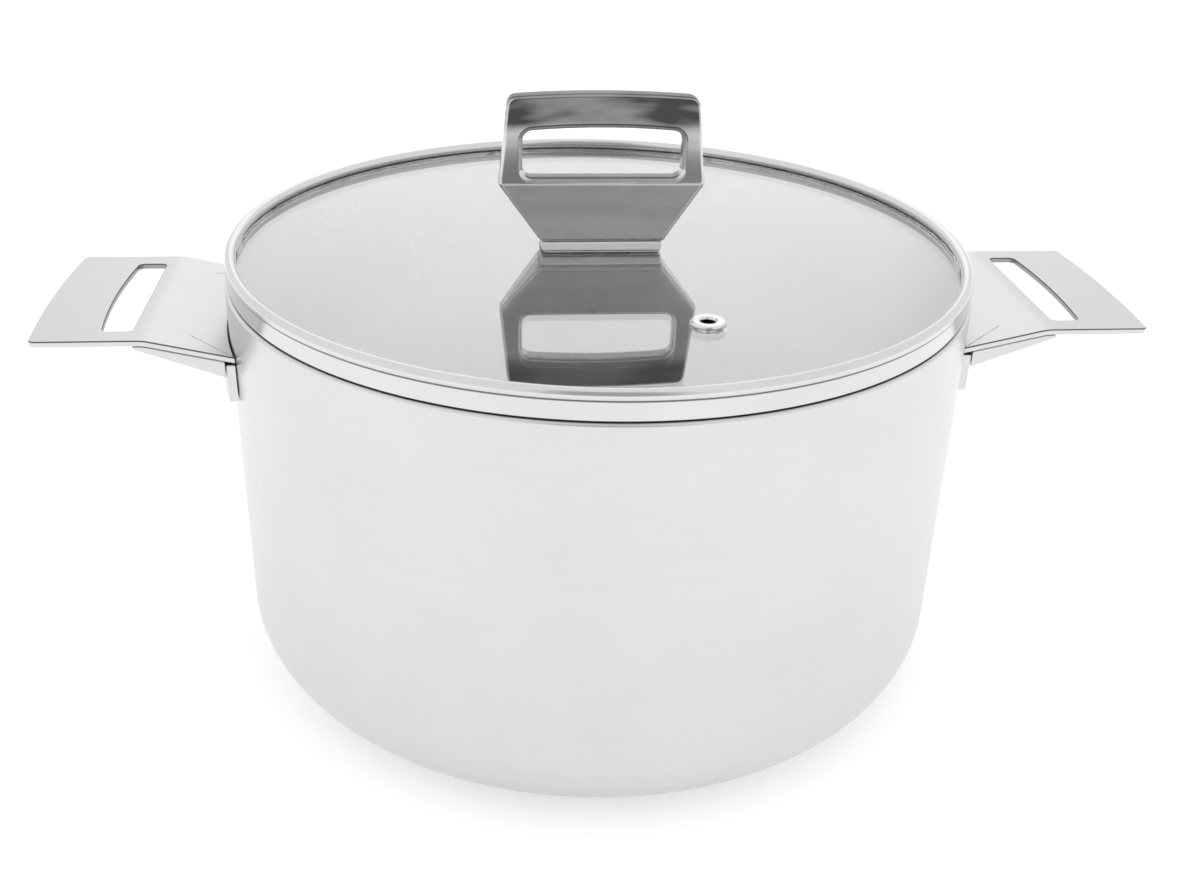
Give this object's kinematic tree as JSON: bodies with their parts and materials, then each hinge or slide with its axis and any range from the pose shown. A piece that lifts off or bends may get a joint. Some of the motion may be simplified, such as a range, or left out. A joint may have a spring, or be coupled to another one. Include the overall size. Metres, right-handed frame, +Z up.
{
  "type": "stock pot",
  "caption": "Deep round satin-steel cooking pot with slotted side handles and a flat glass lid in a steel ring, with a steam vent and an upright slotted knob.",
  "frame": {"origin": "middle of the flat base, on the surface that the pot stands on", "axes": "+Z up, +X towards the right side handle, -Y towards the side of the lid that has the vent"},
  "size_m": [0.3596, 0.245, 0.1952],
  "materials": {
    "satin_steel": "satin stainless steel",
    "polished_steel": "polished cast stainless steel",
    "aluminium_core": "plain aluminium, not seen",
    "clear_glass": "clear tempered glass",
    "milky_plastic": "smooth milky plastic",
    "silicone": "matte translucent silicone"
  },
  "bodies": {
    "pot": {"pot_outer_skin": "satin_steel", "pot_core": "aluminium_core", "pot_inner_skin": "satin_steel", "handle_right_top_plate": "satin_steel", "handle_right_under_shell": "satin_steel", "handle_right_mount_bracket": "satin_steel", "handle_left_top_plate": "satin_steel", "handle_left_under_shell": "satin_steel", "handle_left_mount_bracket": "satin_steel"},
    "lid": {"lid_rim_ring": "satin_steel", "lid_glass": "clear_glass", "lid_edge_seal": "silicone", "vent_eyelet": "satin_steel", "vent_washer": "satin_steel", "knob_body": "polished_steel", "knob_foot_plate": "milky_plastic", "knob_top_gasket": "silicone", "knob_bottom_gasket": "silicone", "knob_clamp_washer": "satin_steel", "knob_screw": "satin_steel"}
  },
  "joints": [
    {"name": "lid_lift", "type": "slide", "parent": "pot", "child": "lid", "axis": [0, 0, 1], "range_m": [0, 0.2]}
  ]
}
